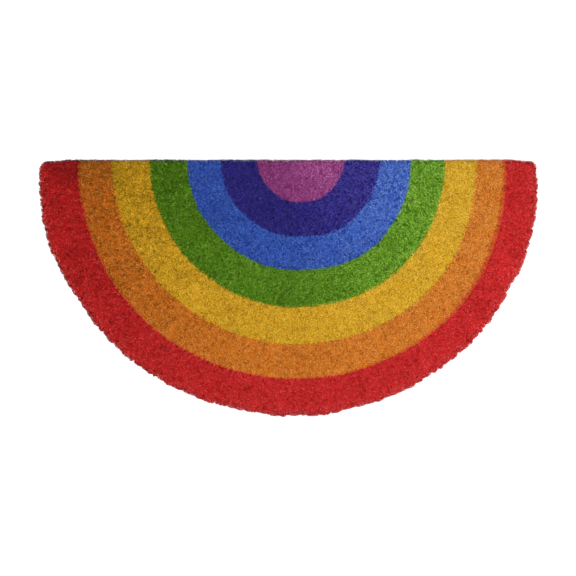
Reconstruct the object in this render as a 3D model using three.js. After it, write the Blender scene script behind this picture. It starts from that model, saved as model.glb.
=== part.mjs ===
// A half round coir doormat: one thick slab of clipped coconut fibre, cut straight along its
// back edge and cut by hand round its curved side, where the tufts of the pile lean out past
// the cut and leave a row of small uneven scallops.
//
// Units are millimetres, with +Z up. The mat lies flat with its underside at z = 0, its straight
// edge towards +Y and its curved side towards -Y. The origin is the middle of its box, on the
// floor.

import * as THREE from 'three';

// Driving dimensions of the cut
const ARC_RADIUS = 377.8; // mean radius of the curved side, out to the tips of its tufts
const CHORD_OFFSET = 8.1; // the straight edge runs this far behind the centre of that arc
const CORNER_RADIUS = 15; // where the arc meets the straight edge, before the drift draws it in
const DROOP = { depth: 2.2, length: 38 }; // how the straight edge sags in towards each corner

// How far the hand-cut arc strays from a true circle. The bearing runs round the arc's centre,
// from 0 degrees at the right corner through 90 at the front to 180 at the left corner.
const CUT_DRIFT = [
  { bearing: 0, out: -8.4 },
  { bearing: 5, out: -4.4 },
  { bearing: 13, out: -0.9 },
  { bearing: 26, out: 1.7 },
  { bearing: 44, out: 4.4 },
  { bearing: 57, out: 3.4 },
  { bearing: 73, out: -0.2 },
  { bearing: 87, out: 0.1 },
  { bearing: 99, out: -1.6 },
  { bearing: 113, out: -1.2 },
  { bearing: 127, out: 1.4 },
  { bearing: 147, out: -0.2 },
  { bearing: 165, out: 4.3 },
  { bearing: 174, out: 2.4 },
  { bearing: 180, out: -0.6 },
];

// Tufts of pile that show along each stretch of edge. Width and depth are a tuft's mean size, and
// step is how far one tuft stands in or out of the next. sides is how many chords draw it.
const SIDE_TUFTS = { width: 12, depth: 2.3, step: 1.2, sides: 6 };
const FRONT_TUFTS = { width: 16, depth: 1.6, step: 1.2, sides: 7 };
const CORNER_TUFTS = { width: 3, depth: 0, step: 0, sides: 1 };
const BACK_TUFTS = { width: 16, depth: 0.45, step: 0.3, sides: 4 };
const FRONT_BEARINGS = { from: 60, to: 120 };
const WIDTH_SPREAD = 0.45; // share by which a tuft's width varies either way
const DEPTH_SPREAD = 0.5;
const TUFT_ROUNDING = 0.75; // 1 is a sine's half wave, and less is a squarer tuft

// A longer, lazier wave of the knife between the tufts and the drift
const WANDER = { length: 34, depth: 1.0, backDepth: 0.35, salt: 21 };

const CALM = 18; // the unevenness fades in over this length from each corner

// The edge from the floor up: the sole, the root of the pile, its widest, its shoulder and its
// tread. inset is how far a level stands in from the tips of the tufts, and tufts is the share of
// their depth that shows there. The sole is cut clean, the pile splays out above it, and its
// clipped top rolls off.
const LEVELS = [
  { z: 0, inset: 3.2, tufts: 0.3 },
  { z: 3, inset: 3.0, tufts: 0.4 },
  { z: 11.5, inset: 0, tufts: 1 },
  { z: 14.9, inset: 1.1, tufts: 0.9 },
  { z: 16, inset: 3.6, tufts: 0.6 },
];
const WIDEST_LEVEL = 2;

const DEG = Math.PI / 180;
const TURN = 2 * Math.PI;
const SALT_STEP = 10; // keeps each stretch's chances apart from the next one's

// The same share from 0 to 1 each time for the same index and salt.
function uneven(index, salt) {
  const mixed = Math.sin(index * 127.1 + salt * 311.7) * 43758.5453;
  return mixed - Math.floor(mixed);
}

// The same, from -1 to 1.
function eitherWay(index, salt) {
  return 2 * uneven(index, salt) - 1;
}

// A counter-clockwise arc of a circle.
function circleArc(x, y, radius, from, to) {
  return new THREE.EllipseCurve(x, y, radius, radius, from, to, false);
}

// Drift of the cut at a bearing, eased from row to row.
function driftAt(bearing) {
  const next = CUT_DRIFT.findIndex((row) => row.bearing >= bearing);
  if (next < 0) return CUT_DRIFT.at(-1).out;
  if (next === 0) return CUT_DRIFT[0].out;
  const from = CUT_DRIFT[next - 1];
  const to = CUT_DRIFT[next];
  const share = THREE.MathUtils.smoothstep(bearing, from.bearing, to.bearing);
  return THREE.MathUtils.lerp(from.out, to.out, share);
}

// The lazy wave at a length along the outline: smooth noise between evenly spaced knots.
function wanderAt(length) {
  const knot = Math.floor(length / WANDER.length);
  const share = THREE.MathUtils.smoothstep(length / WANDER.length - knot, 0, 1);
  const from = eitherWay(knot, WANDER.salt);
  const to = eitherWay(knot + 1, WANDER.salt);
  return THREE.MathUtils.lerp(from, to, share);
}

// Each corner's centre, as its distance either side of the arc's centre, and the angle above the
// x axis at which it meets the arc.
function cornerPlace() {
  const drop = CHORD_OFFSET - CORNER_RADIUS;
  const x = Math.sqrt((ARC_RADIUS - CORNER_RADIUS) ** 2 - drop ** 2);
  return { x, meets: Math.atan2(drop, x) };
}

// The straight edge, from right to left.
function backStretch(cornerX) {
  const toEnd = (share) => Math.min(share, 1 - share) * 2 * cornerX;
  return {
    curve: new THREE.LineCurve(new THREE.Vector2(cornerX, 0), new THREE.Vector2(-cornerX, 0)),
    tufts: BACK_TUFTS,
    wander: WANDER.backDepth,
    cut: (share) => DROOP.depth * (THREE.MathUtils.smoothstep(toEnd(share), 0, DROOP.length) - 1),
    calm: (share) => THREE.MathUtils.smoothstep(toEnd(share), 0, CALM),
  };
}

// A rounded corner, whose cut eases from one neighbour's to the other's.
function cornerStretch(x, from, to, cutFrom, cutTo) {
  return {
    curve: circleArc(x, -CORNER_RADIUS, CORNER_RADIUS, from, to),
    tufts: CORNER_TUFTS,
    wander: 0,
    cut: (share) => THREE.MathUtils.lerp(cutFrom, cutTo, share),
    calm: () => 0,
  };
}

// A stretch of the curved side between two angles.
function arcStretch(from, to, tufts) {
  const bearingAt = (share) => (TURN - THREE.MathUtils.lerp(from, to, share)) / DEG;
  const toEnd = (bearing) => Math.min(bearing, 180 - bearing) * DEG * ARC_RADIUS;
  return {
    curve: circleArc(0, -CHORD_OFFSET, ARC_RADIUS, from, to),
    tufts,
    wander: WANDER.depth,
    cut: (share) => driftAt(bearingAt(share)),
    calm: (share) => THREE.MathUtils.smoothstep(toEnd(bearingAt(share)), 0, CALM),
  };
}

// The stretches of the outline in turn, counter-clockwise from the straight edge's right end. Each
// has its smooth curve, its tufts, how deep it wanders, how far it is cut out at a share of its
// length, and how much of its unevenness shows there. The straight edge is y = 0 here, and the
// arc's centre is at x = 0.
function stretches() {
  const { x: cornerX, meets } = cornerPlace();
  const arcFrom = TURN / 2 - meets;
  const arcTo = TURN + meets;
  const frontFrom = TURN - FRONT_BEARINGS.to * DEG;
  const frontTo = TURN - FRONT_BEARINGS.from * DEG;
  return [
    backStretch(cornerX),
    cornerStretch(-cornerX, TURN / 4, arcFrom, -DROOP.depth, driftAt(180)),
    arcStretch(arcFrom, frontFrom, SIDE_TUFTS),
    arcStretch(frontFrom, frontTo, FRONT_TUFTS),
    arcStretch(frontTo, arcTo, SIDE_TUFTS),
    cornerStretch(cornerX, arcTo, TURN + TURN / 4, driftAt(0), -DROOP.depth),
  ];
}

// The tufts that fill a length exactly, as {start, width, depth, step}.
function tuftsAlong(length, kind, salt) {
  const count = Math.max(1, Math.round(length / kind.width));
  const shares = [];
  for (let i = 0; i < count; i += 1) {
    shares.push(1 + WIDTH_SPREAD * eitherWay(i, salt));
  }
  const total = shares.reduce((sum, share) => sum + share, 0);

  let start = 0;
  return shares.map((share, i) => {
    const width = (length * share) / total;
    const depth = kind.depth * (1 + DEPTH_SPREAD * eitherWay(i, salt + 1));
    const tuft = { start, width, depth, step: kind.step * eitherWay(i, salt + 2) };
    start += width;
    return tuft;
  });
}

// Points round the mat. Each has its smooth place, its outward direction, how far the cut stands
// out there and how far its tuft does.
function rimPoints() {
  const points = [];
  let before = 0;
  stretches().forEach(({ curve, tufts: kind, wander, cut, calm }, order) => {
    const length = curve.getLength();
    for (const tuft of tuftsAlong(length, kind, SALT_STEP * order)) {
      for (let side = 0; side < kind.sides; side += 1) {
        const across = side / kind.sides;
        const share = (tuft.start + across * tuft.width) / length;
        const tangent = curve.getTangent(share);
        const swell = Math.sin(Math.PI * across) ** TUFT_ROUNDING;
        const wave = wander * wanderAt(before + share * length);
        points.push({
          place: curve.getPoint(share),
          outward: new THREE.Vector2(tangent.y, -tangent.x),
          cut: cut(share) + calm(share) * wave,
          tuft: calm(share) * (tuft.step + tuft.depth * (swell - 1)),
        });
      }
    }
    before += length;
  });
  return points;
}

// One ring of the slab's edge at a level.
function ringAt(points, level) {
  return points.map(({ place, outward, cut, tuft }) => {
    const out = cut + level.tufts * tuft - level.inset;
    return place.clone().addScaledVector(outward, out);
  });
}

// The closed slab: a ring of points for each level, joined up, with a flat cap at each end.
function slabGeometry() {
  const points = rimPoints();
  const around = points.length;
  const rings = LEVELS.map((level) => ringAt(points, level));
  const box = new THREE.Box2().setFromPoints(rings[WIDEST_LEVEL]);
  const middle = box.getCenter(new THREE.Vector2());

  const position = [];
  rings.forEach((ring, i) => {
    ring.forEach(({ x, y }) => position.push(x - middle.x, y - middle.y, LEVELS[i].z));
  });

  const index = [];
  for (let level = 0; level + 1 < rings.length; level += 1) {
    for (let i = 0; i < around; i += 1) {
      const low = level * around + i;
      const lowNext = level * around + ((i + 1) % around);
      index.push(low, lowNext, lowNext + around);
      index.push(low, lowNext + around, low + around);
    }
  }
  const top = (rings.length - 1) * around;
  for (const [a, b, c] of THREE.ShapeUtils.triangulateShape(rings[0], [])) {
    index.push(a, c, b);
  }
  for (const [a, b, c] of THREE.ShapeUtils.triangulateShape(rings.at(-1), [])) {
    index.push(top + a, top + b, top + c);
  }

  const geometry = new THREE.BufferGeometry();
  geometry.setAttribute('position', new THREE.Float32BufferAttribute(position, 3));
  geometry.setIndex(index);
  geometry.computeVertexNormals();
  return geometry;
}

// Dyed coir, in the red of the widest band
const coir = new THREE.MeshStandardMaterial({ color: 0xb82a28, roughness: 0.95, metalness: 0 });

const mat = new THREE.Mesh(slabGeometry(), coir);
mat.name = 'coir_mat';

const doormat = new THREE.Group();
doormat.name = 'half_round_doormat';
doormat.add(mat);

export default doormat;
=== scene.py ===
"""The looks of a half round coir doormat in seven dyed bands.

The mat is a slab of bonded coconut fibre with the pile standing out of it. The slab carries the
underside, the cut edge and the depths of the pile, painted dark as shade. Every fibre that shows
is a small closed blade of its own, clumped with its neighbours into tufts, clipped level on top
and splayed over the rim. The dye of each band is strongest at the tips and gives way to brown
coir towards the root, which is painted darker as shade too. Light and shade across the mat, at
the rim and between the tufts are painted into the fibres' colours as well.

All places are in metres, with +X along the straight edge, +Y towards it and +Z up.
"""

import logging
import math
from collections.abc import Mapping, Sequence
from dataclasses import dataclass, field, fields, replace
from enum import Enum
from typing import Any

import bpy
import numpy as np
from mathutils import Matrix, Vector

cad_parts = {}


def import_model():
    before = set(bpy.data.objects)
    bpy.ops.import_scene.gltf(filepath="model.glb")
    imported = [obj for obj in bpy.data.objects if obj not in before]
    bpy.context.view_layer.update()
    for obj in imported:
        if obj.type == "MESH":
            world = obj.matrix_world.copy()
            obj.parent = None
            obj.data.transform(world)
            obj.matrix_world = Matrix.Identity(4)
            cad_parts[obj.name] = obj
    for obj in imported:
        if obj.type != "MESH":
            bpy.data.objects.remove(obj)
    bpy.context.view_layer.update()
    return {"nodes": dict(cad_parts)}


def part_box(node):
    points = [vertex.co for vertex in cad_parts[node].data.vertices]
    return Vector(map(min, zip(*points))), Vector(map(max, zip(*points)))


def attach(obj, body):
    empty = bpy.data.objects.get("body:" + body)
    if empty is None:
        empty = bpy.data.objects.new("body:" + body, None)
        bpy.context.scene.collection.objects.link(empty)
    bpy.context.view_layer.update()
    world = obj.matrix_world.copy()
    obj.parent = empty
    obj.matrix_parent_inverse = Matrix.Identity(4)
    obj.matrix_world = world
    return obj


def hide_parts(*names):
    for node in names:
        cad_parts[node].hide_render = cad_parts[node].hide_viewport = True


LOG = logging.getLogger("doormat")

MM = 0.001
TAU = 2 * math.pi
SEED = 4104
NODE = "coir_mat"
BODY = "root"
PALETTE = "OFBake"  # the map that every fibre's colour is read from

Colour = tuple[float, float, float]
Place = tuple[float, float, float]


def linear(red: float, green: float, blue: float) -> Colour:
    """A colour as seen on a screen, from 0 to 255, as linear light.

    Args:
        red: How much red it has.
        green: How much green it has.
        blue: How much blue it has.

    Returns:
        The three linear shares. The screen's curve is a power of 2.4 with a short straight foot.
    """

    def share(level: float) -> float:
        """One level's share of full light."""
        seen = level / 255
        return seen / 12.92 if seen <= 0.04045 else ((seen + 0.055) / 1.055) ** 2.4

    return share(red), share(green), share(blue)


def times(colour: Colour, factor: float) -> Colour:
    """A colour made darker or lighter by a factor."""
    return tuple(min(1.0, part * factor) for part in colour)


def blend(first: Colour, second: Colour, share: float) -> Colour:
    """A colour with a share of another in it."""
    return tuple(low + (high - low) * share for low, high in zip(first, second))


def deepened(colour: Colour, coats: float) -> Colour:
    """A dye laid on thicker. Each coat lets through the same share, so coats are a power."""
    return tuple(part**coats for part in colour)


@dataclass(frozen=True)
class Dye:
    """One band of the mat: what its fibres are dyed, and how far its outer edge reaches.

    The bands were laid by hand, so their edges stray from circles. The reaches are millimetres
    from the bands' eye, at even bearings from the right end to the left one. The last band goes
    on to the rim. Three numbers paint light and shade into each band across the mat: how much
    paler its right end is than its front, as a painted sheen, how much brighter it is there, as
    painted light, and how much deeper and duller its left end is, as painted shade. Bare is how
    much undyed straw a pale fibre shows, and grain how unlike each other the fibres are.
    """

    slot: str
    colour: Colour
    painted_sheen: float
    lift: float
    painted_shade: float
    reaches: tuple[float, ...] = ()
    bare: float = 0.05
    grain: float = 1.0


BANDS_EYE = (0.010, 0.193)  # the middle of the bands, on the straight edge
PAINTED_SHADE_GATHERS = 3  # the power by which the painted shade of a left end gathers towards the straight edge
PAINTED_SHADE_DIMS = 0.3  # how much duller the painted shade makes a left end for how much deeper it paints it
LAST_BAND = 80 * MM  # a width that takes the last band past the rim


class Band(Enum):
    """The seven bands, from the middle of the straight edge outwards."""

    MAGENTA = Dye(
        "coir_magenta",
        linear(175, 75, 155),
        painted_sheen=0.2,
        lift=0.2,
        painted_shade=0.1,
        reaches=(74, 70, 63, 57, 56),
        grain=1.15,
    )
    INDIGO = Dye(
        "coir_indigo",
        linear(35, 35, 150),
        painted_sheen=0.2,
        lift=0.4,
        painted_shade=0.0,
        reaches=(127, 125, 115, 112, 111),
        grain=0.8,
    )
    BLUE = Dye(
        "coir_blue",
        linear(50, 105, 210),
        painted_sheen=0.4,
        lift=0.2,
        painted_shade=0.1,
        reaches=(174, 176, 165, 162, 162),
        grain=1.25,
    )
    GREEN = Dye(
        "coir_green",
        linear(100, 160, 20),
        painted_sheen=0.3,
        lift=0.5,
        painted_shade=0.5,
        reaches=(225, 227, 221, 219, 218),
        bare=0.03,
        grain=1.5,
    )
    YELLOW = Dye(
        "coir_yellow",
        linear(245, 200, 45),
        painted_sheen=0.2,
        lift=0.0,
        painted_shade=0.6,
        reaches=(274, 281, 277, 275, 276),
        grain=1.1,
    )
    ORANGE = Dye(
        "coir_orange",
        linear(240, 150, 45),
        painted_sheen=0.2,
        lift=0.0,
        painted_shade=0.7,
        reaches=(313, 328, 328, 329, 323),
        grain=1.1,
    )
    RED = Dye(
        "coir_red",
        linear(230, 35, 45),
        painted_sheen=0.0,
        lift=0.0,
        painted_shade=0.4,
        grain=1.15,
    )


@dataclass(frozen=True)
class Patch:
    """A soft patch that is duller or brighter than its band. Most are stains, and those in the back left
    corner are painted shade.

    Its place is its middle and its size its half width, in millimetres. Light is how much
    brighter its middle is.
    """

    place: tuple[float, float]
    size: tuple[float, float]
    light: float


# Patches that show in the enlarged photo, from the left to the right
STAINS_AND_CORNER_SHADE = (
    # The first, third and fourth darken the back left corner as painted shade.
    Patch((-328, 179), (26, 24), -0.5),
    Patch((-320, 55), (18, 16), -0.1),
    Patch((-276, 178), (24, 22), -0.3),
    Patch((-255, 165), (18, 24), -0.2),
    Patch((-182, 160), (22, 26), -0.2),
    Patch((-143, -8), (28, 18), 0.1),
    Patch((-120, 100), (24, 24), -0.2),
    Patch((-40, 120), (26, 20), -0.1),
    Patch((-5, -17), (18, 12), -0.2),
    Patch((8, -98), (18, 12), -0.1),
    Patch((15, -59), (30, 14), -0.1),
    Patch((154, 63), (20, 20), -0.1),
    Patch((330, 28), (24, 18), 0.1),
)


def stains_and_corner_shade(places: np.ndarray) -> np.ndarray:
    """How much brighter places on the floor are for the stains and the painted corner shade on them.

    A patch is strongest at its middle and falls off as a bell: the light times e to the power of
    minus the squared way out, in half widths.

    Args:
        places: Places on the floor, one row each.

    Returns:
        The light that the stains and the painted corner shade add at each place, below zero where they are
        duller.
    """
    light = np.zeros(len(places))
    for patch in STAINS_AND_CORNER_SHADE:
        offset = (places / MM - patch.place) / patch.size
        light += patch.light * np.exp(-(offset**2).sum(1))
    return light


def bearing_of(places: np.ndarray) -> np.ndarray:
    """The bearings of places on the floor round the bands' eye, from 0 to 180 degrees."""
    offset = places - BANDS_EYE
    return np.degrees(np.arctan2(np.maximum(-offset[:, 1], 0.0), offset[:, 0]))


def eased(bearing: np.ndarray, reaches: Sequence[float]) -> np.ndarray:
    """A band's reach at some bearings.

    Args:
        bearing: Degrees from the right end, from 0 to 180.
        reaches: The reaches at even bearings, from the right end to the left one.

    Returns:
        The reach at each bearing, eased from one of the given ones to the next.
    """
    scaled = bearing / 180 * (len(reaches) - 1)
    knot = np.minimum(scaled.astype(int), len(reaches) - 2)
    share = scaled - knot
    ease = share * share * (3 - 2 * share)
    given = np.asarray(reaches, float)
    return given[knot] * (1 - ease) + given[knot + 1] * ease


def band_place(places: np.ndarray) -> np.ndarray:
    """Where places on the floor lie across the bands.

    A place's reach from the bands' eye is set against the edges' reaches at its bearing, and the
    result runs evenly from one edge to the next.

    Args:
        places: Places on the floor, one row each.

    Returns:
        0 at the eye, 1 at the first band's outer edge, 2 at the second one's and so on.
    """
    bearing = bearing_of(places)
    reach = np.linalg.norm(places - BANDS_EYE, axis=1)
    inner = np.zeros_like(reach)
    place = np.zeros_like(reach)
    for band in Band:
        if band.value.reaches:
            outer = eased(bearing, band.value.reaches) * MM
        else:
            outer = inner + LAST_BAND
        place = place + np.clip((reach - inner) / (outer - inner), 0, 1)
        inner = outer
    return place


class Value:
    """A number in a node tree, so that shader maths reads as arithmetic."""

    def __init__(self, graph: "Graph", socket: bpy.types.NodeSocket) -> None:
        """Wraps an output socket of a node tree."""
        self.graph = graph
        self.socket = socket

    def _with(self, operation: str, first: Any, second: Any) -> "Value":
        """The result of one Math node on two values."""
        made = self.graph.node("ShaderNodeMath", {"operation": operation}, {0: first, 1: second})
        return Value(self.graph, made.outputs[0])

    def __add__(self, other: Any) -> "Value":
        """This value plus another."""
        return self._with("ADD", self, other)

    __radd__ = __add__

    def __sub__(self, other: Any) -> "Value":
        """This value less another."""
        return self._with("SUBTRACT", self, other)

    def __rsub__(self, other: Any) -> "Value":
        """Another value less this one."""
        return self._with("SUBTRACT", other, self)

    def __mul__(self, other: Any) -> "Value":
        """This value times another."""
        return self._with("MULTIPLY", self, other)

    __rmul__ = __mul__


class Graph:
    """A material's node tree, in which one method makes any node."""

    def __init__(self, name: str) -> None:
        """Starts a material with its shader and output.

        Args:
            name: The material's name.
        """
        self.material = bpy.data.materials.new(name)
        self.material.use_nodes = True
        self.nodes = self.material.node_tree.nodes
        self.links = self.material.node_tree.links
        self.surface = self.nodes["Principled BSDF"]

    def feed(self, socket: bpy.types.NodeSocket, value: Any) -> None:
        """Links a value or socket to an input, or sets the input to a number or colour."""
        if isinstance(value, Value):
            value = value.socket
        if isinstance(value, bpy.types.NodeSocket):
            self.links.new(value, socket)
        else:
            socket.default_value = value

    def node(
        self,
        kind: str,
        settings: Mapping[str, Any] | None = None,
        inputs: Mapping[str | int, Any] | None = None,
    ) -> bpy.types.Node:
        """Makes a node.

        Args:
            kind: The node's type.
            settings: What is set before its sockets are fed. "stops" are a ramp's places and
                colours.
            inputs: What goes into each socket, by its name or its number.

        Returns:
            The new node.
        """
        made = self.nodes.new(kind)
        for name, value in (settings or {}).items():
            if name == "stops":
                self._set_stops(made.color_ramp, value)
            elif name == "interpolation":
                made.color_ramp.interpolation = value
            else:
                setattr(made, name, value)
        for key, value in (inputs or {}).items():
            self.feed(made.inputs[key], value)
        return made

    @staticmethod
    def _set_stops(ramp: bpy.types.ColorRamp, stops: Sequence[tuple[float, Colour]]) -> None:
        """Gives a colour ramp exactly these stops."""
        while len(ramp.elements) < len(stops):
            ramp.elements.new(1.0)
        for element, (place, colour) in zip(ramp.elements, stops, strict=True):
            element.position = place
            element.color = (*colour, 1.0)

    def ramp(
        self,
        factor: Value,
        stops: Sequence[tuple[float, Colour]],
        interpolation: str = "LINEAR",
    ) -> bpy.types.NodeSocket:
        """A colour that follows a value through stops."""
        made = self.node(
            "ShaderNodeValToRGB",
            {"interpolation": interpolation, "stops": stops},
            {"Fac": factor},
        )
        return made.outputs["Color"]

    def mix(self, factor: Any, first: Any, second: Any, blend: str = "MIX") -> Any:
        """One colour laid over another by a factor.

        Args:
            factor: How much of the second shows.
            first: The colour below.
            second: The colour above.
            blend: How they meet, as Blender names it.

        Returns:
            The mixed colour's socket.
        """
        settings = {"data_type": "RGBA", "blend_type": blend, "clamp_factor": True}
        made = self.node("ShaderNodeMix", settings, {0: factor, 6: first, 7: second})
        return made.outputs[2]

    def step(self, value: Value, low: float, high: float) -> Value:
        """A value eased from 0 at low to 1 at high."""
        made = self.node(
            "ShaderNodeMapRange",
            {"interpolation_type": "SMOOTHSTEP"},
            {"Value": value, "From Min": low, "From Max": high},
        )
        return Value(self, made.outputs["Result"])

    def noise(self, place: bpy.types.NodeSocket, grain: float, detail: float = 2.0) -> Value:
        """Soft noise whose lumps are about a grain across, from 0 to 1."""
        made = self.node(
            "ShaderNodeTexNoise",
            {"noise_dimensions": "3D"},
            {"Vector": place, "Scale": 1 / grain, "Detail": detail, "Roughness": 0.55},
        )
        return Value(self, made.outputs["Fac"])


@dataclass(frozen=True)
class FibreFinish:
    """Dyed coir fibre, whose colour is read from the palette map.

    Across the palette a fibre goes from deep to pale. Up the palette lie a few rows, one for each
    kind of fibre, and each row goes from brown coir at the root, painted dark as shade, to the full
    dye and past it.
    """

    name: str
    dye: Colour
    bare: float
    brown: Colour = linear(96, 62, 34)
    straw: Colour = linear(228, 210, 172)
    pale_coats: float = 0.3  # coats of dye that a pale fibre lacks
    deep_coats: float = 0.55  # coats of dye that a deep fibre has over
    deep_strength: float = 1.1
    fair_bare: float = 0.025  # the straw that shows on a fair fibre
    root_coats: float = 1.2
    # The root is brown coir and deeper dye, darkened further as painted shade of the pile's depths.
    root_light: float = 0.5
    root_brown: float = 0.3  # the share of brown at a root
    root_brown_light: float = 0.6
    foot_light_in_painted_shadow: float = 0.3  # the light that is left at a fibre's very foot under the painted shadow near the floor
    roughness: float = 0.6
    specular: float = 0.05

    def shade(self, paler: float) -> Colour:
        """The dye's colour where it took more thinly or more thickly.

        Thin dye lets some undyed straw through. Thick dye is darker and purer.

        Args:
            paler: 1 for a pale fibre, 0 for a fair one and -1 for a deep one, and on past them.

        Returns:
            The colour.
        """
        if paler > 0:
            coats, strength, bare = self.pale_coats, 1.0, self.bare
        else:
            coats, strength, bare = self.deep_coats, self.deep_strength, self.fair_bare
        colour = times(deepened(self.dye, 1 - coats * paler), strength**paler)
        return blend(colour, self.straw, max(0.0, self.fair_bare + bare * paler))

    def material(self) -> bpy.types.Material:
        """Makes the finish.

        Returns:
            The material. Its colour is the dye's ramp from deep to pale, tinted by the fibre's
            kind, brightened or dulled by the fibre's light, and browner and darker towards the root,
            where shade is painted, with painted shadow at the foot near the floor.
        """
        graph = Graph(self.name)
        palette = graph.node("ShaderNodeUVMap", {"uv_map": PALETTE})
        parts = graph.node("ShaderNodeSeparateXYZ", None, {0: palette.outputs[0]})
        tone = Value(graph, parts.outputs["X"])
        climb = Value(graph, parts.outputs["Y"]) * float(len(Kind))
        kind = Value(graph, graph.node("ShaderNodeMath", {"operation": "FLOOR"}, {0: climb}).outputs[0])
        light = (climb - kind) * (1 / FULL_DYE)

        stops = [(0.5 + TONE_STEP * paler, self.shade(paler)) for paler in RAMP_TONES]
        colour = graph.ramp(tone, stops)
        for each in Kind:
            is_kind = graph.node(
                "ShaderNodeMath", {"operation": "COMPARE"}, {0: kind, 1: float(each.value.row), 2: 0.1}
            )
            share = Value(graph, is_kind.outputs[0]) * each.value.share
            tints = {"brown": self.brown, "straw": self.straw, "deep": self.shade(DEEP_TONE)}
            tint = tints.get(each.value.tint)
            if tint is not None:
                colour = graph.mix(share, colour, (*tint, 1.0))
        # The fibre's light, which carries painted light and shade, brightens or dulls the colour.
        lit = graph.node("ShaderNodeMath", {"operation": "MAXIMUM"}, {0: light, 1: DYE_HOLDS})
        colour = graph.mix(1.0, colour, lit.outputs[0], "MULTIPLY")
        # The root's colour: brown coir and deeper dye, darkened as painted shade of the pile's depths.
        painted_shade_root = times(deepened(self.dye, self.root_coats), self.root_light)
        root_brown = times(self.brown, self.root_brown_light)
        root = (*blend(painted_shade_root, root_brown, self.root_brown), 1.0)
        colour = graph.mix(graph.step(light, DYE_FADES, DYE_HOLDS), root, colour)
        # Painted shadow darkens a fibre's foot near the floor.
        painted_foot_shadow = graph.step(light, 0.0, DYE_FADES) * (1 - self.foot_light_in_painted_shadow) + self.foot_light_in_painted_shadow
        colour = graph.mix(1.0, colour, painted_foot_shadow, "MULTIPLY")

        graph.feed(graph.surface.inputs["Base Color"], colour)
        graph.feed(graph.surface.inputs["Roughness"], self.roughness)
        graph.feed(graph.surface.inputs["Specular IOR Level"], self.specular)
        return graph.material


@dataclass(frozen=True)
class FibreKind:
    """A kind of fibre: its row on the palette, how common it is, and what tints it."""

    row: int
    common: float
    tint: str
    share: float


class Kind(Enum):
    """The kinds of fibre in every band."""

    DYED = FibreKind(0, 0.83, "none", 0.0)
    PALE = FibreKind(1, 0.05, "straw", 0.10)
    BROWN = FibreKind(2, 0.04, "brown", 0.25)
    DEEP = FibreKind(3, 0.08, "deep", 0.8)


FULL_DYE = 0.7  # how far up its row a fibre has its full dye
DYE_FADES = 0.4  # below this share of the full dye the coir is brown and painted dark as shade
DYE_HOLDS = 0.8  # above this one it is only brighter or duller, by its grain and by painted light and shade
RAMP_TONES = (-2.4, -1.8, -1.2, -0.6, 0, 0.6, 1.2, 2.4)  # where the palette's ramp has its stops
DEEP_TONE = -2.2  # how deep the deep kind of fibre is dyed


@dataclass(frozen=True)
class SlabFinish:
    """The depths of the pile and the cut edge, in the bands' colours but darker, as painted shade, and
    browner.

    Where a place lies across the bands is read from the slab's own attribute.
    """

    name: str = "coir_depths"
    brown: Colour = linear(84, 56, 32)
    sole: Colour = linear(112, 90, 64)
    # How much of the band's colour is left under the painted shade of the pile's depths.
    depth: float = 0.7
    waver: float = 0.04
    waver_size: float = 5 * MM
    grain_size: float = 1.3 * MM
    grain_share: float = 0.7
    edge_from: float = 11 * MM  # the cut edge turns brown from here down
    edge_to: float = 4 * MM
    edge_share: float = 0.75
    mottle_size: float = 9 * MM
    sole_from: float = 1.2 * MM
    sole_to: float = 0.4 * MM
    bump: float = 0.8 * MM
    bump_strength: float = 0.6
    roughness: float = 0.9
    specular: float = 0.15
    across: str = "across_bands"

    def material(self) -> bpy.types.Material:
        """Makes the finish.

        Returns:
            The material. A place takes its band's dye, darkened as painted shade and by grains of
            noise, and mixed with brown towards the floor. Its underside is plain coir.
        """
        graph = Graph(self.name)
        place = graph.node("ShaderNodeTexCoord").outputs["Object"]
        parts = graph.node("ShaderNodeSeparateXYZ", None, {0: place})
        height = Value(graph, parts.outputs["Z"])
        across = graph.node("ShaderNodeAttribute", {"attribute_name": self.across})
        stray = (graph.noise(place, self.waver_size, 3.0) - 0.5) * (2 * self.waver)
        band = (Value(graph, across.outputs["Fac"]) + stray) * (1 / len(Band))
        stops = [
            (number / len(Band), times(each.value.colour, self.depth))
            for number, each in enumerate(Band)
        ]
        colour: Any = graph.ramp(band, stops, "CONSTANT")
        grain = graph.noise(place, self.grain_size, 3.0)
        dark = (*times(self.brown, 0.5), 1.0)
        colour = graph.mix(graph.step(grain, 0.62, 0.38) * self.grain_share, colour, dark)
        browned = graph.step(height, self.edge_from, self.edge_to) * self.edge_share
        colour = graph.mix(browned, colour, (*self.brown, 1.0))
        mottle = graph.noise(place, self.mottle_size, 4.0)
        sole = graph.mix(mottle, (*times(self.sole, 0.72), 1.0), (*times(self.sole, 1.2), 1.0))
        colour = graph.mix(graph.step(height, self.sole_from, self.sole_to), colour, sole)

        relief = {"Strength": self.bump_strength, "Distance": self.bump, "Height": grain}
        bump = graph.node("ShaderNodeBump", None, relief)
        graph.feed(graph.surface.inputs["Base Color"], colour)
        graph.feed(graph.surface.inputs["Roughness"], self.roughness)
        graph.feed(graph.surface.inputs["Specular IOR Level"], self.specular)
        graph.feed(graph.surface.inputs["Normal"], bump.outputs["Normal"])
        return graph.material


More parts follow.
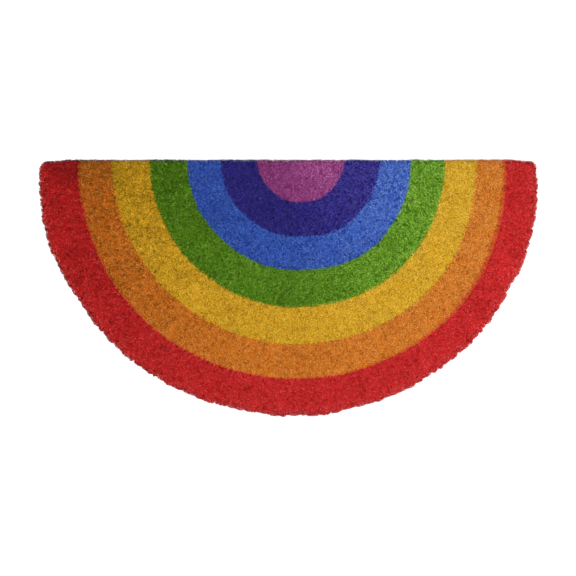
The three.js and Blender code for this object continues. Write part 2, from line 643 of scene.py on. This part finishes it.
def soft_noise(places: np.ndarray, cell: float, rng: np.random.Generator) -> np.ndarray:
    """Smooth noise over the floor.

    A random number sits at each knot of a square lattice, and between knots the four nearest are
    blended by an eased share of the way along x and y.

    Args:
        places: Places on the floor, one row each.
        cell: The lattice's pitch.
        rng: Where the knots' numbers come from.

    Returns:
        A number from -1 to 1 for each place.
    """
    scaled = places / cell
    knot = np.floor(scaled).astype(int)
    start = knot.min(0)
    size = knot.max(0) - start + 2
    knots = rng.uniform(-1, 1, size)
    share = scaled - knot
    ease = share * share * (3 - 2 * share)
    x, y = (knot - start).T
    near = knots[x, y] * (1 - ease[:, 0]) + knots[x + 1, y] * ease[:, 0]
    far = knots[x, y + 1] * (1 - ease[:, 0]) + knots[x + 1, y + 1] * ease[:, 0]
    return near * (1 - ease[:, 1]) + far * ease[:, 1]


def unit(vectors: np.ndarray) -> np.ndarray:
    """Vectors brought to a length of 1."""
    return vectors / np.maximum(np.linalg.norm(vectors, axis=1, keepdims=True), 1e-12)


@dataclass(frozen=True)
class Outline:
    """The mat's cut edge where it is widest.

    Each point of the edge is held as its bearing round an eye inside the mat and its reach from
    it. The curved side also has a best circle, which says which way out is.
    """

    eye: np.ndarray
    bearings: np.ndarray
    reaches: np.ndarray
    arc_middle: np.ndarray
    arc_radius: float
    back: float

    EYE_SHARE = 0.75  # how far towards the straight edge the eye lies
    CORNER = 20 * MM  # points this near the straight edge are left out of the circle
    TURN = 4 * MM  # how softly the way out turns in a corner
    LEAST_SKEW = 0.2  # keeps a gap above zero where the edge runs along the ray from the eye

    @classmethod
    def of_node(cls, node: bpy.types.Object) -> "Outline":
        """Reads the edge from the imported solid.

        Args:
            node: The solid's object.

        Returns:
            The outline at the height where the solid is widest. The circle is the least squares
            one through the points that lie clear of the straight edge.
        """
        places = np.empty(3 * len(node.data.vertices), np.float32)
        node.data.vertices.foreach_get("co", places)
        places = places.reshape(-1, 3).astype(float)
        widest = places[places[:, 0].argmax(), 2]
        level = np.abs(places[:, 2] - widest) < 0.01 * MM
        ring = np.unique(np.round(places[level, :2], 6), axis=0)
        low, high = ring.min(0), ring.max(0)

        depth = cls.EYE_SHARE * high[1] + (1 - cls.EYE_SHARE) * low[1]
        eye = np.array([(low[0] + high[0]) / 2, depth])
        offset = ring - eye
        bearings = np.arctan2(offset[:, 1], offset[:, 0])
        order = np.argsort(bearings)

        curved = ring[ring[:, 1] < high[1] - cls.CORNER]
        system = np.column_stack([2 * curved, np.ones(len(curved))])
        x, y, rest = np.linalg.lstsq(system, (curved**2).sum(1), rcond=None)[0]
        return cls(
            eye=eye,
            bearings=bearings[order],
            reaches=np.hypot(*offset[order].T),
            arc_middle=np.array([x, y]),
            arc_radius=math.sqrt(rest + x * x + y * y),
            back=float(high[1]),
        )

    def outward(self, places: np.ndarray) -> np.ndarray:
        """Which way out is at each place, as unit vectors on the floor.

        It points away from the arc's middle, but straight back where the straight edge is nearer,
        with a soft turn between the two in the corners.

        Args:
            places: Places on the floor, one row each.

        Returns:
            A unit vector for each place.
        """
        from_middle = places - self.arc_middle
        to_arc = self.arc_radius - np.linalg.norm(from_middle, axis=1)
        to_back = self.back - places[:, 1]
        nearer_back = 1 / (1 + np.exp(np.clip((to_back - to_arc) / self.TURN, -40, 40)))
        share = nearer_back[:, None]
        return unit(unit(from_middle) * (1 - share) + np.array([0.0, 1.0]) * share)

    def gap(self, places: np.ndarray) -> np.ndarray:
        """How far each place lies inside the edge, measured along the way out."""
        offset = places - self.eye
        bearing = np.arctan2(offset[:, 1], offset[:, 0])
        reach = np.interp(bearing, self.bearings, self.reaches, period=TAU)
        skew = (unit(offset) * self.outward(places)).sum(1)
        return (reach - np.linalg.norm(offset, axis=1)) * np.clip(skew, self.LEAST_SKEW, 1.0)

    def stations(self, count: int) -> np.ndarray:
        """Bearings of points spaced evenly along the edge."""
        points = self.at(self.bearings)
        steps = np.linalg.norm(np.roll(points, -1, 0) - points, axis=1)
        along = np.concatenate([[0.0], np.cumsum(steps)])
        turned = np.append(self.bearings, self.bearings[0] + TAU)
        return np.interp(np.arange(count) * along[-1] / count, along, turned)

    def at(self, bearings: np.ndarray) -> np.ndarray:
        """The edge's points at some bearings."""
        reach = np.interp(bearings, self.bearings, self.reaches, period=TAU)
        return self.eye + reach[:, None] * np.column_stack([np.cos(bearings), np.sin(bearings)])


def fill_mesh(
    name: str, corners: np.ndarray, faces: np.ndarray, palette: np.ndarray | None = None
) -> bpy.types.Object:
    """Makes an object from whole arrays.

    Args:
        name: The piece's name.
        corners: The corners' places, one row each.
        faces: The corners of each face, one row each, all with as many.
        palette: The palette map's place for each corner of each face.

    Returns:
        The object, at the origin.
    """
    mesh = bpy.data.meshes.new(name)
    count, sides = faces.shape
    mesh.vertices.add(len(corners))
    mesh.vertices.foreach_set("co", corners.astype(np.float32).ravel())
    mesh.loops.add(count * sides)
    mesh.loops.foreach_set("vertex_index", faces.astype(np.int32).ravel())
    mesh.polygons.add(count)
    mesh.polygons.foreach_set("loop_start", np.arange(0, count * sides, sides, dtype=np.int32))
    if palette is not None:
        layer = mesh.uv_layers.new(name=PALETTE)
        layer.uv.foreach_set("vector", palette.astype(np.float32).ravel())
    mesh.update(calc_edges=True)
    mesh.validate()
    piece = bpy.data.objects.new(name, mesh)
    bpy.context.scene.collection.objects.link(piece)
    return piece


@dataclass(frozen=True)
class Fibres:
    """Many fibres at once, each row one fibre.

    Root and tip are places, and width is the blade's. Tone says how pale or deep the fibre is
    dyed and light how bright it is; both carry painted light and shade as well as the fibre's own
    grain. Kind is its row on the palette.
    """

    root: np.ndarray
    tip: np.ndarray
    width: np.ndarray
    tone: np.ndarray
    light: np.ndarray
    kind: np.ndarray

    def chosen(self, which: np.ndarray) -> "Fibres":
        """Only some of the fibres."""
        return Fibres(*(getattr(self, part.name)[which] for part in fields(self)))

    def joined(self, other: "Fibres") -> "Fibres":
        """These fibres and some others."""
        names = [part.name for part in fields(self)]
        return Fibres(*(np.concatenate([getattr(self, name), getattr(other, name)]) for name in names))

    def blades(self, name: str, tread: float, rng: np.random.Generator) -> bpy.types.Object:
        """Makes a closed blade for each fibre.

        A blade is a sliver with four corners and four faces. Two corners lie either side of the
        root, and two lie either side of the tip, at right angles to them, so the tip is blunt as
        clipped fibre is, and the blade looks narrow from some sides and flat from others.

        Args:
            name: The piece's name.
            tread: The height at which a fibre has its full dye.
            rng: Turns each blade about its own length.

        Returns:
            The piece, with its palette map.
        """
        count = len(self.root)
        along = unit(self.tip - self.root)
        across = unit(np.cross(along, unit(rng.normal(size=(count, 3)))))
        athwart = np.cross(along, across)
        half = self.width[:, None] / 2
        corners = np.stack(
            [
                self.root + across * half,
                self.root - across * half,
                self.tip + athwart * half * TIP_SHARE,
                self.tip - athwart * half * TIP_SHARE,
            ],
            axis=1,
        )
        sides = np.array([[0, 2, 3], [1, 3, 2], [0, 1, 2], [1, 0, 3]])
        faces = (4 * np.arange(count)[:, None, None] + sides).reshape(-1, 3)

        beside = np.array([1, -1, 1, -1]) * PALETTE_STEP
        across_map = np.clip(0.5 + TONE_STEP * self.tone, 0.01, 0.99)[:, None] + beside
        # The palette's height carries the fibre's light, with its painted light and shade.
        climb = np.sqrt(np.clip(corners[:, :, 2] / tread, 0, 1)) * self.light[:, None] * FULL_DYE
        up_map = (self.kind[:, None] + np.clip(climb, 0.02, 0.98)) / len(Kind)
        spots = np.stack([across_map, up_map], axis=2)
        palette = spots[:, sides.ravel()].reshape(-1, 2)
        return fill_mesh(name, corners.reshape(-1, 3), faces, palette)


TIP_SHARE = 0.75  # a blade's width at its tip, as a share of its root's
PALETTE_STEP = 0.75 / 1024  # half of the palette's width that a blade takes
TONE_STEP = 0.2  # the palette's width from a fair fibre to a pale or deep one
TUFT_POWER = 0.45  # makes most tufts fair and a few deep
TUFT_MEAN = 0.69  # the mean of a number from 0 to 1 to that power
PAINTED_TONES = 2  # how many tones paler a band is painted for each whole of painted sheen, and deeper for painted shade


@dataclass
class Pile:
    """The clipped pile: every fibre that shows, in a piece for each band."""

    outline: Outline
    tread: float
    spacing: float = 1.075 * MM
    tuft_pitch: float = 2.6 * MM
    root_depth: float = 2.8 * MM
    clip_spread: float = 0.22 * MM
    lean: float = 1.25 * MM
    clump: float = 0.30
    width: float = 0.73 * MM
    rim_spacing: float = 0.22 * MM
    rim_depth: float = 4.5 * MM
    splay: float = 2.0 * MM
    overhang: float = 1.6 * MM
    clipped_share: float = 0.95
    # How much deeper the painted shade of the rim's dark line makes the fibres nearest the edge.
    painted_rim_shade: float = 1.6
    curved_rim_paling: float = 0.7
    bleach_depth: float = 16 * MM
    laid_share: float = 0.22
    laid_lean: float = 2.6 * MM
    shade_spread: float = 0.45
    pale_spread: float = 0.7
    deep_spread: float = 1.3
    tuft_shade_spread: float = 1.9
    tuft_edge_painted_shade: float = 0.6
    dark_tufts: float = 0.11
    dark_tuft_shade: float = 1.3
    band_jitter: float = 1.1 * MM
    band_waver: float = 1.0 * MM
    band_waver_size: float = 30 * MM
    jitter: float = 0.45  # how far a root strays from the lattice, as a share of its pitch
    bare_rim: float = 0.3 * MM  # no root stands nearer to the edge than this
    tuft_height_spread: float = 0.4 * MM
    shortest: float = 2 * MM
    tuft_edge: float = 2.5  # how soon the painted shade between tufts darkens a tuft away from its middle
    rim_shade_depth: float = 1.8 * MM
    grain_light: float = 0.12  # how much brighter a pale fibre is than a fair one
    painted_shade_grain_light: float = 2.8  # how much more so where painted shade makes the band duller
    rng: np.random.Generator = field(default_factory=lambda: np.random.default_rng(SEED))

    # The rolled-off rim, as the pile's height for how far a place lies inside the edge
    ROLL_GAPS = (0.0, 1.1 * MM, 3.6 * MM)
    ROLL_DROPS = (4.5 * MM, 1.2 * MM, 0.0)

    def lattice(self, pitch: float, jitter: float) -> np.ndarray:
        """Places on a shaken lattice that covers the mat.

        Every other row is shifted by half a pitch, and each place is moved by up to jitter times
        the pitch either way.

        Args:
            pitch: The distance from one place to the next in a row.
            jitter: How far a place may move, as a share of the pitch.

        Returns:
            The places that don't lie behind the straight edge.
        """
        reach = self.outline.arc_radius + 10 * MM
        across = np.arange(-reach, reach, pitch)
        rows = np.arange(-reach, reach, pitch * math.sqrt(0.75))
        x, y = np.meshgrid(across, rows)
        x = x + (np.arange(len(rows)) % 2)[:, None] * pitch / 2
        places = np.column_stack([x.ravel(), y.ravel()])
        places = places + self.rng.uniform(-jitter, jitter, places.shape) * pitch
        inside = places[:, 1] < self.outline.back + pitch
        return places[inside]

    def tufts(self, places: np.ndarray) -> tuple[np.ndarray, np.ndarray]:
        """The tuft that each place belongs to, which is the nearest one.

        Args:
            places: Places on the floor.

        Returns:
            The middle of each place's tuft, and a number from 0 to 1 that is the tuft's own.
        """
        cell = np.floor(places / self.tuft_pitch).astype(int)
        start = cell.min(0) - 1
        size = cell.max(0) - start + 2
        shake = self.rng.uniform(0.1, 0.9, (*size, 2))
        own = self.rng.random(size)
        best = np.full(len(places), np.inf)
        middle = np.zeros_like(places)
        number = np.zeros(len(places))
        for step_x in (-1, 0, 1):
            for step_y in (-1, 0, 1):
                near = cell + (step_x, step_y)
                x, y = (near - start).T
                candidate = (near + shake[x, y]) * self.tuft_pitch
                apart = np.linalg.norm(candidate - places, axis=1)
                closer = apart < best
                best[closer] = apart[closer]
                middle[closer] = candidate[closer]
                number[closer] = own[x, y][closer]
        return middle, number

    def kinds(self, count: int) -> np.ndarray:
        """The palette row of a kind for each of some fibres, as common as each kind is."""
        common = np.cumsum([kind.value.common for kind in Kind])
        return np.searchsorted(common / common[-1], self.rng.random(count))

    def tread_fibres(self) -> Fibres:
        """The fibres of the tread.

        A root stands on a shaken lattice. Its tip is moved by a lean of its own, drawn in towards
        the middle of its tuft and splayed outwards near the rim, and it is clipped at the tread's
        height less the rim's roll.

        Returns:
            The fibres, in the order of the lattice.
        """
        roots = self.lattice(self.spacing, self.jitter)
        gap = self.outline.gap(roots)
        roots, gap = roots[gap > self.bare_rim], gap[gap > self.bare_rim]
        count = len(roots)
        middle, number = self.tufts(roots)
        outward = self.outline.outward(roots)

        near_rim = np.clip(1 - gap / self.rim_depth, 0, 1)[:, None]
        laid = self.rng.random(count) < self.laid_share
        spread = np.where(laid, self.laid_lean, self.lean)[:, None]
        lean = self.rng.normal(0, 1, (count, 2)) * spread * (1 - 0.5 * near_rim)
        ends = roots + lean + (middle - roots) * self.clump + outward * near_rim * self.splay
        over = np.maximum(-self.outline.gap(ends) - self.overhang, 0.0)
        ends = ends - outward * (over * self.clipped_share)[:, None]
        end_gap = np.maximum(self.outline.gap(ends), 0.0)
        drop = np.interp(end_gap, self.ROLL_GAPS, self.ROLL_DROPS)
        clipped = self.rng.normal(0, self.clip_spread, count) + (number - 0.5) * self.tuft_height_spread
        top = self.tread - drop + clipped
        foot = np.minimum(self.tread - self.root_depth, top - self.shortest)

        tone = self.rng.normal(0, self.shade_spread, count)
        tone = tone + (number**TUFT_POWER - TUFT_MEAN) * self.tuft_shade_spread
        tone = tone - self.dark_tuft_shade * (number < self.dark_tufts)
        # Tufts are paler in the middle and deeper at their edges: painted shade in the gaps between tufts.
        off_middle = np.linalg.norm(middle - roots, axis=1) / self.tuft_pitch
        tone = tone + self.tuft_edge_painted_shade * (1 - self.tuft_edge * off_middle)
        # Fibres whose tips lie near the edge are painted deeper: painted shade for the dark line along the
        # rim.
        tone = tone - self.painted_rim_shade * np.clip(1 - end_gap / self.rim_shade_depth, 0, 1)
        # Fibres are paler towards the curved rim.
        curved = outward[:, 1] < 0.5
        tone = tone + self.curved_rim_paling * curved * np.clip(1 - gap / self.bleach_depth, 0, 1)
        return Fibres(
            root=np.column_stack([roots, foot]),
            tip=np.column_stack([ends, top]),
            width=self.width * self.rng.uniform(0.7, 1.25, count),
            tone=tone,
            light=np.ones(count),
            kind=self.kinds(count),
        )

    def rim_fibres(self) -> Fibres:
        """The long fibres down the cut edge.

        Each starts near the sole, a little inside the edge, and leans out to where the edge is
        widest, at a height of its own.

        Returns:
            The fibres, in turn round the mat.
        """
        perimeter = np.linalg.norm(np.diff(self.outline.at(self.outline.bearings), axis=0), axis=1)
        count = int(perimeter.sum() / self.rim_spacing)
        places = self.outline.at(self.outline.stations(count))
        outward = self.outline.outward(places)
        inset = self.rng.uniform(2.6, 4.2, count) * MM
        low = self.rng.uniform(0.6, 6.5, count) * MM
        high = low + self.rng.uniform(4.5, 8.5, count) * MM
        high = np.minimum(high, self.tread - self.rng.uniform(0.6, 4.2, count) * MM)
        ends_in = np.interp(high, (6 * MM, 11.5 * MM, 15 * MM), (0.6 * MM, -1.2 * MM, -0.1 * MM))
        ends_in = ends_in + self.rng.uniform(-0.2, 0.3, count) * MM
        along = np.column_stack([-outward[:, 1], outward[:, 0]])
        aside = along * self.rng.normal(0, 1.1 * MM, count)[:, None]
        return Fibres(
            root=np.column_stack([places - outward * inset[:, None], low]),
            tip=np.column_stack([places - outward * ends_in[:, None] + aside, high]),
            width=self.width * self.rng.uniform(0.8, 1.3, count),
            # Deeper than the tread: painted shade for the dark line down the rim.
            tone=self.rng.normal(-0.4, self.shade_spread, count),
            light=np.full(count, 1.1),
            kind=np.full(count, Kind.DYED.value.row),
        )

    def with_grain_and_painted_light(self, fibres: Fibres, bands: np.ndarray) -> Fibres:
        """Paints light and shade across the mat into the fibres' tone and light, with their grain.

        The right ends are painted paler and brighter, as painted sheen and light, and the left ends
        deeper and duller, as painted shade. A fibre's own stray in tone grows with its band's grain and
        also lights it, and more so where painted shade makes the band duller.

        Args:
            fibres: The fibres.
            bands: The number of each fibre's band.

        Returns:
            The fibres with their new tone and light.
        """
        side = np.cos(np.radians(bearing_of(fibres.root[:, :2])))
        right = np.maximum(side, 0)
        left = np.maximum(-side, 0) ** PAINTED_SHADE_GATHERS
        tone = fibres.tone.copy()
        light = fibres.light.copy()
        for number, band in enumerate(Band):
            own = bands == number
            dye = band.value
            # Painted sheen and light on the right end, painted shade on the left end.
            painted_tone = dye.painted_sheen * right[own] - dye.painted_shade * left[own]
            painted_light_shift = dye.lift * right[own] - PAINTED_SHADE_DIMS * dye.painted_shade * left[own]
            stray = tone[own] * band.value.grain
            stray = stray * np.where(stray > 0, self.pale_spread, self.deep_spread)
            light[own] += painted_light_shift + stray * (self.grain_light + self.painted_shade_grain_light * np.maximum(-painted_light_shift, 0))
            tone[own] = stray * (1 + np.maximum(-painted_tone, 0)) + PAINTED_TONES * painted_tone
        patch = stains_and_corner_shade(fibres.root[:, :2])
        return replace(fibres, tone=tone + patch, light=light + patch)

    def bands(self, fibres: Fibres) -> np.ndarray:
        """The number of the band that each fibre is dyed in.

        A fibre is in the band that its tip lies in, after the tip is moved by a small jitter of
        its own and a slow waver.

        Args:
            fibres: The fibres.

        Returns:
            Each one's band, from 0 for the innermost.
        """
        tips = fibres.tip[:, :2]
        tips = tips + self.rng.normal(0, self.band_jitter, tips.shape)
        waver = [soft_noise(tips, self.band_waver_size, self.rng) for _ in range(2)]
        tips = tips + np.column_stack(waver) * self.band_waver
        return np.minimum(band_place(tips).astype(int), len(Band) - 1)

    def build(self) -> list[bpy.types.Object]:
        """Makes the pile.

        Returns:
            A piece for each band, and two for the red one, which is the largest.
        """
        fibres = self.tread_fibres().joined(self.rim_fibres())
        bands = self.bands(fibres)
        fibres = self.with_grain_and_painted_light(fibres, bands)
        pieces = []
        for number, band in enumerate(Band):
            dye = band.value
            finish = FibreFinish(dye.slot, dye.colour, dye.bare).material()
            own = fibres.chosen(bands == number)
            left = own.root[:, 0] < 0
            halves = [("_left", left), ("_right", ~left)] if band is Band.RED else [("", left | ~left)]
            for side, which in halves:
                name = f"pile_{band.name.lower()}{side}"
                piece = own.chosen(which).blades(name, self.tread, self.rng)
                piece.data.shade_smooth()
                piece.data.materials.append(finish)
                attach(piece, BODY)
                pieces.append(piece)
                LOG.info("%s: %d fibres", piece.name, which.sum())
        return pieces


@dataclass
class Slab:
    """The bonded body of the mat under the pile's tips."""

    outline: Outline
    tread: float
    around: int = 720
    sink: float = 2.0 * MM
    lump: float = 0.45 * MM
    lump_size: float = 3.4 * MM
    shoulder: float = 11.5 * MM  # above this the lumps rise, and below it they stand out
    rng: np.random.Generator = field(default_factory=lambda: np.random.default_rng(SEED + 1))

    def profile(self) -> np.ndarray:
        """The slab's section, from the middle of the underside round to the middle of the top.

        Returns:
            Rows of share, inset, height and lumps: a point stands at that share of the way out to
            the edge less the inset.
        """
        top = self.tread - self.sink
        under = [(share, 3.2 * MM, 0.0, 0.0) for share in (0.3, 0.6, 0.85, 0.97, 1.0)]
        side = [
            (1.0, 3.0 * MM, 0.5 * MM, 0.0),
            (1.0, 3.0 * MM, 2.0 * MM, 0.3),
            (1.0, 2.9 * MM, 4.0 * MM, 0.6),
            (1.0, 2.5 * MM, 6.0 * MM, 0.8),
            (1.0, 2.0 * MM, 8.0 * MM, 1.0),
            (1.0, 1.7 * MM, 9.5 * MM, 1.0),
            (1.0, 2.2 * MM, 11.0 * MM, 1.0),
            (1.0, 3.6 * MM, 12.2 * MM, 1.0),
        ]
        tops = [(share, 3.6 * MM, top, 1.0) for share in np.linspace(0.985, 0.05, 12)]
        return np.array(under + side + tops)

    def build(self) -> bpy.types.Object:
        """Makes the slab.

        Each row of the section is a ring round the mat, at its share of the way from the outline's
        eye to the inset edge. Lumps of tuft size move a ring's points up on the top and outwards
        on the side. Fans close the surface at both middles.

        Returns:
            The slab, with its finish.
        """
        rows = self.profile()
        bearings = self.outline.stations(self.around)
        edge = self.outline.at(bearings)
        outward = self.outline.outward(edge)
        offset = edge - self.outline.eye
        inset = rows[:, 1][:, None, None] * outward[None]
        floor = self.outline.eye + rows[:, 0][:, None, None] * (offset[None] - inset)
        flat = floor.reshape(-1, 2)
        lumps = soft_noise(flat, self.lump_size, self.rng).reshape(len(rows), -1) * self.lump
        lumps = lumps * rows[:, 3][:, None]
        on_top = (rows[:, 2] > self.shoulder)[:, None]
        floor = floor + np.where(on_top, 0, lumps)[:, :, None] * outward[None]
        height = rows[:, 2][:, None] + np.where(on_top, lumps, 0)
        rings = np.concatenate([floor, height[:, :, None]], axis=2).reshape(-1, 3)

        low = np.array([[*self.outline.eye, 0.0]])
        high = np.array([[*self.outline.eye, self.tread - self.sink]])
        corners = np.concatenate([rings, low, high])

        ring = np.arange(self.around)
        after = (ring + 1) % self.around
        starts = self.around * np.arange(len(rows) - 1)[:, None]
        first = np.stack(
            [starts + ring, starts + after, starts + self.around + after], axis=2
        ).reshape(-1, 3)
        second = np.stack(
            [starts + ring, starts + self.around + after, starts + self.around + ring], axis=2
        ).reshape(-1, 3)
        last = self.around * (len(rows) - 1)
        bottom = np.column_stack([after, ring, np.full(self.around, len(rings))])
        top = np.column_stack([last + ring, last + after, np.full(self.around, len(rings) + 1)])
        faces = np.concatenate([first, second, bottom, top])

        slab = fill_mesh("mat_slab", corners, faces)
        slab.data.shade_smooth()
        finish = SlabFinish()
        across = slab.data.attributes.new(finish.across, "FLOAT", "POINT")
        across.data.foreach_set("value", band_place(corners[:, :2]).astype(np.float32))
        slab.data.materials.append(finish.material())
        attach(slab, BODY)
        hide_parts(NODE)
        LOG.info("%s: %d faces", slab.name, len(faces))
        return slab


@dataclass(frozen=True)
class Studio:
    """A plain white floor, soft light from above and a camera that looks straight down."""

    width: float
    tread: float
    lens: float = 85.0
    sensor: float = 36.0
    margin: float = 1.155
    brow: float = 4.5 * MM  # how far below the tread the mat is widest
    aim: tuple[float, float] = (-0.6 * MM, 0.2 * MM)
    half: float = 4.0  # half the floor's width
    sunk: float = 0.1 * MM  # how far the floor lies under the mat
    glow: float = 0.7
    room: float = 1.33
    key_place: Place = (0.50, -0.16, 0.80)
    key_size: float = 0.6
    key_power: float = 4.2

    def floor(self) -> None:
        """Lays the floor under the mat."""
        ends = np.array([[-1, -1, 0], [1, -1, 0], [1, 1, 0], [-1, 1, 0]])
        corners = self.half * ends - [0, 0, self.sunk]
        floor = fill_mesh("floor", corners, np.array([[0, 1, 2, 3]]))
        graph = Graph("floor_paint")
        graph.feed(graph.surface.inputs["Base Color"], (0.6, 0.6, 0.6, 1.0))
        graph.feed(graph.surface.inputs["Roughness"], 0.9)
        graph.feed(graph.surface.inputs["Emission Color"], (1.0, 1.0, 1.0, 1.0))
        graph.feed(graph.surface.inputs["Emission Strength"], self.glow)
        floor.data.materials.append(graph.material)

    def camera(self) -> None:
        """Puts the camera over the mat, as far up as shows it with the photo's margin."""
        data = bpy.data.cameras.new("camera")
        data.lens = self.lens
        data.sensor_width = self.sensor
        camera = bpy.data.objects.new("camera", data)
        away = self.width * self.margin * self.lens / self.sensor - self.brow
        camera.location = (*self.aim, self.tread + away)
        bpy.context.scene.collection.objects.link(camera)
        bpy.context.scene.camera = camera

    def lamp(self, name: str, place: Place, size: float, power: float) -> None:
        """Hangs a square soft light that faces the mat."""
        data = bpy.data.lights.new(name, "AREA")
        data.size = size
        data.energy = power
        lamp = bpy.data.objects.new(name, data)
        lamp.location = place
        x, y, z = place
        lamp.rotation_euler = (math.atan2(math.hypot(x, y), z), 0.0, math.atan2(x, -y))
        bpy.context.scene.collection.objects.link(lamp)

    def light(self) -> None:
        """Lights the mat softly from all round, and more from the lower right."""
        world = bpy.data.worlds.new("room")
        world.use_nodes = True
        world.node_tree.nodes["Background"].inputs["Color"].default_value = (1.0, 1.0, 1.0, 1.0)
        world.node_tree.nodes["Background"].inputs["Strength"].default_value = self.room
        bpy.context.scene.world = world
        self.lamp("key", self.key_place, self.key_size, self.key_power)
        bpy.context.scene.view_settings.view_transform = "Standard"

    def build(self) -> None:
        """Sets up the floor, the camera and the light."""
        self.floor()
        self.camera()
        self.light()


def main() -> None:
    """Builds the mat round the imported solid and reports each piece."""
    logging.basicConfig(level=logging.INFO, format="%(name)s: %(message)s")
    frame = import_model()
    low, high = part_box(NODE)
    Studio(width=high.x - low.x, tread=high.z).build()

    outline = Outline.of_node(frame["nodes"][NODE])
    slab = Slab(outline, high.z).build()
    pile = Pile(outline, high.z).build()


if __name__ == "__main__":
    main()
